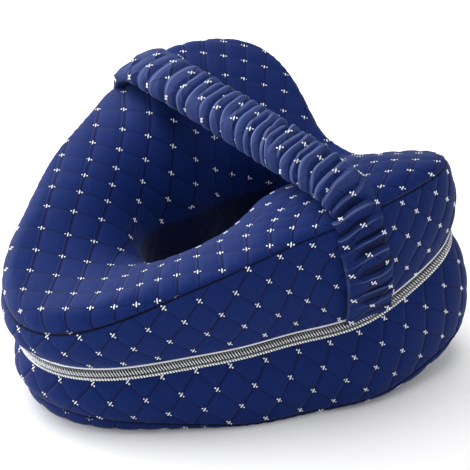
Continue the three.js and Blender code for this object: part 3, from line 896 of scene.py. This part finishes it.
def teeth_mesh():
    """The teeth's points, faces and brightness, with painted shade in the recesses and on the teeth's
    sides, upper and lower teeth in turn.
    """
    base, along, out, up = zip_frames(zip_angles(TOOTH_PITCH / 2))
    top = SLOT_DEPTH + CHAIN_PROUD
    n = len(TOOTH_PROFILE)
    points, faces, bright = [], [], []
    for k in range(len(base)):
        sign = 1 if k % 2 else -1
        start = len(points)
        stations = UPPER_TOOTH if sign > 0 else LOWER_TOOTH
        for reach, wide, drop, unshaded in stations:
            slant = TOOTH_SLANT * sign * reach
            for side_share, fall in TOOTH_PROFILE:
                place = base[k] + up[k] * sign * reach + out[k] * (top - drop - fall)
                points.append(place + along[k] * (side_share * TOOTH_HALF * wide + slant))
                # Painted shade: darker where a station drops, and down the tooth's sides.
                bright.append((0, 0, unshaded * (1 - fall / TOOTH_FOOT)))
        for a in range(len(stations) - 1):
            for b in range(n - 1):
                low = start + a * n + b
                quad = [low, low + 1, low + n + 1, low + n]
                faces.append(quad if sign < 0 else quad[::-1])
        for ring, turned in ((0, sign > 0), (len(stations) - 1, sign < 0)):
            cap = [start + ring * n + b for b in range(n)]
            faces.append(cap if turned else cap[::-1])
    return np.array(points), faces, np.array(bright)


def tape_mesh(sign):
    """A tape's points, faces and brightness: pale on the upper cord, painted shade elsewhere."""
    base, along, out, up = zip_frames(zip_angles(TAPE_STEP))
    rings = [base + up * (sign * off) + out * high for off, high in TAPE_SECTION]
    points = np.stack(rings, axis=1)
    faces = grid_faces(len(base), len(TAPE_SECTION), False, flipped=sign > 0)
    corded = np.array([[0, 0, float(sign > 0 and off > PALE_FROM)] for off, high in TAPE_SECTION])
    return points.reshape(-1, 3), faces, np.tile(corded, (len(base), 1))


points, faces, bright = teeth_mesh()
teeth = mesh_object("zip_teeth", settle(points), faces, zip_metal, bright, smooth=False)
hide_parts("zip_chain")
for name, sign in (("zip_tape_upper", 1), ("zip_tape_lower", -1)):
    points, faces, corded = tape_mesh(sign)
    tape = mesh_object("cord_" + name, settle(points), faces, zip_tape, corded)
    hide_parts(name)


# The strap

STRAP_STATIONS = 1000
STRAP_SIDES = 80
STRAP_FINE_STEPS = 4001

# The strap by length from its middle: the gathers' pitch and depth, the section's squareness, cloth for
# each length, how far the band is widened, placed along, lifted and set over, and how far its creases
# turn.
FOLD_COLUMNS = (
    "length", "pitch", "depth", "squareness", "ratio", "widen", "place", "lift", "inset", "turn",
)
FOLDS = np.array([
    (-193, 14, 0.3, 0.55, 1.0, 1.1, 12, 0, 2, 0),
    (-135, 14, 0.6, 0.6, 1.05, 1.14, 12, 0, 2.6, 0),
    (-100, 13, 0.7, 0.75, 1.05, 1.18, 12, 4.6, 6.8, 0),
    (-65, 10.5, 1.9, 0.75, 1.1, 1.1, 12, 2.2, 1, 2),
    (-25, 7.5, 4.2, 0.7, 1.3, 0.98, 12.5, 0.8, 0, 4),
    (40, 6.8, 5.5, 0.62, 1.6, 0.93, 13, 0.8, 0, 5),
    (75, 7, 5.5, 0.62, 1.7, 0.93, 14.5, 1.2, 0, 5),
    (100, 7.8, 5.0, 0.7, 1.6, 0.95, 15.5, 1.2, 0, 4),
    (118, 10, 3.8, 0.75, 1.4, 0.97, 14, 0.5, 0, 2),
    (145, 11.5, 2.2, 0.7, 1.3, 0.95, 11, 0, 0, 0),
    (180, 11.5, 1.6, 0.65, 1.2, 0.98, 10.5, 0, 0, 0),
    (193, 11.5, 0.3, 0.6, 1.2, 1.0, 10.5, 0, 0, 0),
])

# The strap's quilting, whose puffs flatten where the gathers are deep.
STRAP_PUFF = 1.8
STRAP_ALONG = -5.0
STRAP_ROW = 3.5
PUFF_FULL = 1.3
PUFF_LOSS = 0.5
DEEP_GATHER = 2.0

# How uneven the creases are, and how alike they are at the strap's low end.
FOLD_SEED = 23
PITCH_DRAW = (0.6, 1.45)
STRENGTH_DRAW = (0.55, 1.1)
LOW_END = 130
LOW_SLANT = -0.9
LOW_SLANT_DRAW = 0.3
LOW_STRENGTH = 0.9
LOW_FADE = 0.75

# A crease is steep on one side and gentle on the other. Its line has a slant, a bow and a sway.
FOLD_STEEP = 0.3
FOLD_GENTLE = 0.75
FOLD_SLOPE = 1.5
FOLD_RIDGE = 0.38
FOLD_LEAN = 0.45
FOLD_SLANT = 1.6
FOLD_BOW = 1.3
FOLD_SWAY = 0.7
SWAY_TURN = 3.1
SWAY_SHIFT = 3.0
FOLD_INNER = 0.25
INNER_SIDE = (0.5, 0.95)
HOOK_REACH = (0.1, 1)
FADE_REACH = (-0.2, 0.9)
SIDE_SWELL = 0.8

# Painted shade in the creases, painted highlights on the rims and edges, and painted light on the strap's
# upper stretch.
CREASE_SHADE = 0.9
CREASE_RANGE = (0.2, 0.5)
RIM_WIDTH = 0.55
RIM_LIGHT = 0.85
EDGE_LIGHT = 0.3
EDGE_RANGE = (0.93, 1)
EDGE_START = (130, 145)
UPPER_LIGHT = 0.27
UPPER_START = (-145, -115)
UPPER_END = (90, 135)
# The strap's motifs face away from this point.
STRAP_CORE = np.array([0.0, 12.0, -20.0])


def strap_line():
    """The strap's evenly spaced stations from end to end, and their lengths from its middle."""
    mirrored = STRAP[:0:-1] * [-1, 1, 1, 1, -1]
    rows = np.concatenate([mirrored, STRAP])
    ends = np.concatenate([2 * rows[:1] - rows[1:2], rows, 2 * rows[-1:] - rows[-2:-1]])
    t = np.linspace(0, len(rows) - 1, STRAP_FINE_STEPS)
    k = np.minimum(t.astype(int), len(rows) - 2)
    s = (t - k)[:, None]
    a, b, c, d = (ends[k + n] for n in range(4))
    square = (2 * a - 5 * b + 4 * c - d) * s ** 2
    cube = (3 * b - a - 3 * c + d) * s ** 3
    smooth = 0.5 * (2 * b + (c - a) * s + square + cube)
    steps = np.linalg.norm(np.diff(smooth[:, :2], axis=0), axis=1)
    length = np.concatenate([[0], np.cumsum(steps)])
    even = np.linspace(0, length[-1], STRAP_STATIONS)
    stations = np.stack([np.interp(even, length, column) for column in smooth.T], axis=1)
    return stations, even - length[-1] / 2


def fold_value(column, length):
    return np.interp(length, FOLDS[:, 0], FOLDS[:, FOLD_COLUMNS.index(column)])


def creases():
    """The strap's creases in turn: place, pitch, slant, bow, sway, strength, fading edge and its share."""
    draw = np.random.default_rng(FOLD_SEED)
    rows = []
    place = FOLDS[0, 0]
    while place < FOLDS[-1, 0]:
        pitch = fold_value("pitch", place) * draw.uniform(*PITCH_DRAW)
        slant, bow, sway, edge = draw.uniform(-1, 1, 4)
        strength = draw.uniform(*STRENGTH_DRAW)
        fade = draw.uniform(0, 1)
        if place > LOW_END:
            slant = LOW_SLANT + LOW_SLANT_DRAW * slant
            edge = -1
            strength = LOW_STRENGTH
            fade = LOW_FADE
        rows.append((place, pitch, slant, bow, sway, strength, edge, fade))
        place += pitch
    return rows


def fold_depths(length, wide, thick):
    """For each point: how deep it lies in a crease, from 0 on a ridge to 1, and how near it is to a rim."""
    deep = np.zeros((len(length), len(wide)))
    rim = np.zeros_like(deep)
    for place, pitch, slant, bow, sway, strength, edge, fade in creases():
        turn = fold_value("turn", place)
        line = place + FOLD_SLANT * slant * wide + FOLD_BOW * bow * wide ** 2
        line = line + FOLD_SWAY * np.sin(SWAY_TURN * wide + SWAY_SHIFT * sway) - turn * wide
        line = line + turn * smoothstep(-thick, *HOOK_REACH)
        past = length[:, None] - line[None, :]
        steep = 1 - np.clip(past / (FOLD_STEEP * pitch), 0, 1)
        gentle = 1 - np.clip(-past / (FOLD_GENTLE * pitch), 0, 1)
        rise = np.where(past > 0, np.sqrt(1 - steep ** 2), 1 - gentle ** FOLD_SLOPE)
        held = strength * (1 - fade * smoothstep(np.sign(edge) * wide, *FADE_REACH))
        deep = np.maximum(deep, held[None, :] * (1 - rise))
        near_rim = np.exp(-((past - FOLD_STEEP * pitch) / RIM_WIDTH) ** 2)
        rim = np.maximum(rim, held[None, :] * near_rim)
    return deep, rim


def strap_grid():
    """The strap's points by station and side, its cloth values and its lattice places."""
    stations, length = strap_line()
    across, height, half_width, half_thick, lean = stations.T
    half_width = half_width * fold_value("widen", length)
    height = height + fold_value("lift", length)
    across = across + fold_value("inset", length)
    place = fold_value("place", length)[:, None]
    along = np.gradient(stations[:, :2], axis=0)
    along /= np.linalg.norm(along, axis=1, keepdims=True)
    out = np.stack([-along[:, 1], along[:, 0]], axis=1)
    turn = -2 * np.pi * np.arange(STRAP_SIDES) / STRAP_SIDES
    square = fold_value("squareness", length)[:, None]
    wide = np.sign(np.cos(turn)) * np.abs(np.cos(turn)) ** square
    thick = np.sign(np.sin(turn)) * np.abs(np.sin(turn)) ** square
    deep, rim = fold_depths(length, np.cos(turn), np.sin(turn))
    depth = fold_value("depth", length)[:, None]
    swell = (FOLD_RIDGE - deep) * depth
    inner = smoothstep(-thick, *INNER_SIDE)
    swell = swell * (1 - inner) + np.minimum(swell, 0) * FOLD_INNER * inner
    reach = thick * (half_thick[:, None] + swell)
    offset = wide * (half_width[:, None] + SIDE_SWELL * swell)
    slide = -FOLD_LEAN * (FOLD_RIDGE + swell / depth) * depth * (1 - inner)
    points = np.stack([
        across[:, None] + out[:, :1] * reach + along[:, :1] * slide + lean[:, None] * offset,
        place + offset,
        height[:, None] + out[:, 1:] * reach + along[:, 1:] * slide,
    ], axis=-1)
    ring = np.stack([wide * half_width[:, None], thick * half_thick[:, None]], axis=-1)
    round_it = np.cumsum(np.linalg.norm(np.roll(ring, -1, axis=1) - ring, axis=-1), axis=1)
    cloth_length = np.cumsum(fold_value("ratio", length)) * (length[1] - length[0])
    x = np.repeat(cloth_length[:, None], STRAP_SIDES, 1) + STRAP_ALONG
    y = np.roll(round_it, 1, axis=1) - round_it[:, -1:] + STRAP_ROW
    # The first side takes the second's place, so that the pattern has no jump between them.
    y[:, 0] = y[:, 1]
    p, q = lattice(x, y)
    quilt = STRAP_PUFF * quilting(p, q) * np.clip(PUFF_FULL - PUFF_LOSS * depth, 0, 1)
    normals = grid_normals(points.transpose(1, 0, 2), True).transpose(1, 0, 2)
    points = points + normals * quilt[..., None]
    share = np.clip(depth / DEEP_GATHER, 0, 1)
    # Painted shade in the creases, and painted highlights on the fold rims, edges and upper stretch.
    shade = 1 - CREASE_SHADE * smoothstep(deep * share, *CREASE_RANGE) + RIM_LIGHT * rim * share ** 2
    edges = smoothstep(np.abs(wide), *EDGE_RANGE) * smoothstep(length, *EDGE_START)[:, None]
    upper = smoothstep(length, *UPPER_START) * (1 - smoothstep(length, *UPPER_END))
    shade = shade + EDGE_LIGHT * edges + UPPER_LIGHT * upper[:, None]
    return points, np.stack([p, q, shade], axis=-1), p, q


def outward_from_strap(place):
    return place - STRAP_CORE


points, cloth, p, q = strap_grid()
faces = grid_faces(STRAP_SIDES, STRAP_STATIONS, True)
first_ring = [k * STRAP_STATIONS for k in range(STRAP_SIDES)]
faces.append(first_ring)
faces.append([k + STRAP_STATIONS - 1 for k in reversed(first_ring)])
settled = settle(points.transpose(1, 0, 2)).reshape(-1, 3)
cloth_by_side = cloth.transpose(1, 0, 2).reshape(-1, 3)
strap = mesh_object("strap_gathered", settled, faces, strap_cloth, cloth_by_side)
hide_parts("strap")
points, faces = motif_mesh(crossings(points, p, q, False), outward_from_strap)
mesh_object("motifs_strap", settle(points), faces, motif_thread)


# The floor, light and camera

FLOOR_SIZE = 6.0
FLOOR_COLOUR = (0.96, 0.96, 0.96, 1)
WORLD_STRENGTH = 0.142
floor_shader = Shader("pale_floor")
floor_shader.set(Base_Color=FLOOR_COLOUR, Roughness=0.9, Specular_IOR_Level=0.1)
half = FLOOR_SIZE / 2
corners = [(-half, -half, 0), (half, -half, 0), (half, half, 0), (-half, half, 0)]
floor_mesh = bpy.data.meshes.new("floor")
floor_mesh.from_pydata(corners, [], [(0, 1, 2, 3)])
floor_mesh.materials.append(floor_shader.material)
floor = bpy.data.objects.new("floor", floor_mesh)
bpy.context.scene.collection.objects.link(floor)

world = bpy.data.worlds.new("studio")
world.use_nodes = True
sky = world.node_tree.nodes["Background"].inputs
sky["Color"].default_value = (1, 1, 1, 1)
sky["Strength"].default_value = WORLD_STRENGTH
bpy.context.scene.world = world
bpy.context.scene.view_settings.view_transform = "Standard"

# The camera's angles, its distance from its target and the target's place off the hole's middle, in
# millimetres, and its focal length in pixels of the image.
CAMERA_AZIMUTH = math.radians(53.33)
CAMERA_ELEVATION = math.radians(30.41)
CAMERA_DISTANCE = 1659.31
CAMERA_RIGHT = -0.91
CAMERA_UP = 2.56
FOCAL_PIXELS = 2739.4
IMAGE_SIZE = 470
SENSOR = 36.0
CLIP_END = 50

ca, sa = math.cos(CAMERA_AZIMUTH), math.sin(CAMERA_AZIMUTH)
ce, se = math.cos(CAMERA_ELEVATION), math.sin(CAMERA_ELEVATION)
right = Vector((ca, sa, 0))
up = Vector((-sa * se, ca * se, ce))
back = Vector((sa * ce, -ca * ce, se))


def add_light(name, place, target, size, power):
    light = bpy.data.lights.new(name, "AREA")
    light.shape = "DISK"
    light.size = size
    light.energy = power
    lamp = bpy.data.objects.new(name, light)
    lamp.location = place
    lamp.rotation_euler = (Vector(target) - Vector(place)).to_track_quat("-Z", "Y").to_euler()
    bpy.context.scene.collection.objects.link(lamp)


middle = Vector(HOLE_PLACE) * MM
toward = Vector((sa, -ca, 0))
# Each light's place in metres from the middle, to the right, toward the camera and up, and its power in
# watts.
LIGHT_SIZE = 1.6
LIGHTS = {
    "left": (-1.8, 0.0, 0.4, 36),
    "rear_left": (-1.2, -1.2, 0.9, 43),
    "top": (0.0, 0.0, 2.0, 27),
    "right": (1.6, 0.0, 1.2, 9.5),
    "front": (0.0, 1.8, 0.6, 11.5),
}
for name, (to_right, to_camera, above, power) in LIGHTS.items():
    lamp_place = middle + right * to_right + toward * to_camera + Vector((0, 0, above))
    add_light(name, lamp_place, middle, LIGHT_SIZE, power)

camera_data = bpy.data.cameras.new("camera")
camera_data.sensor_fit = "HORIZONTAL"
camera_data.sensor_width = SENSOR
camera_data.lens = FOCAL_PIXELS / IMAGE_SIZE * SENSOR
camera_data.clip_end = CLIP_END
camera = bpy.data.objects.new("camera", camera_data)
target = middle + right * (CAMERA_RIGHT * MM) + up * (CAMERA_UP * MM)
place = target + back * (CAMERA_DISTANCE * MM)
camera.matrix_world = Matrix((
    (right.x, up.x, back.x, place.x),
    (right.y, up.y, back.y, place.y),
    (right.z, up.z, back.z, place.z),
    (0, 0, 0, 1),
))
bpy.context.scene.collection.objects.link(camera)
bpy.context.scene.camera = camera
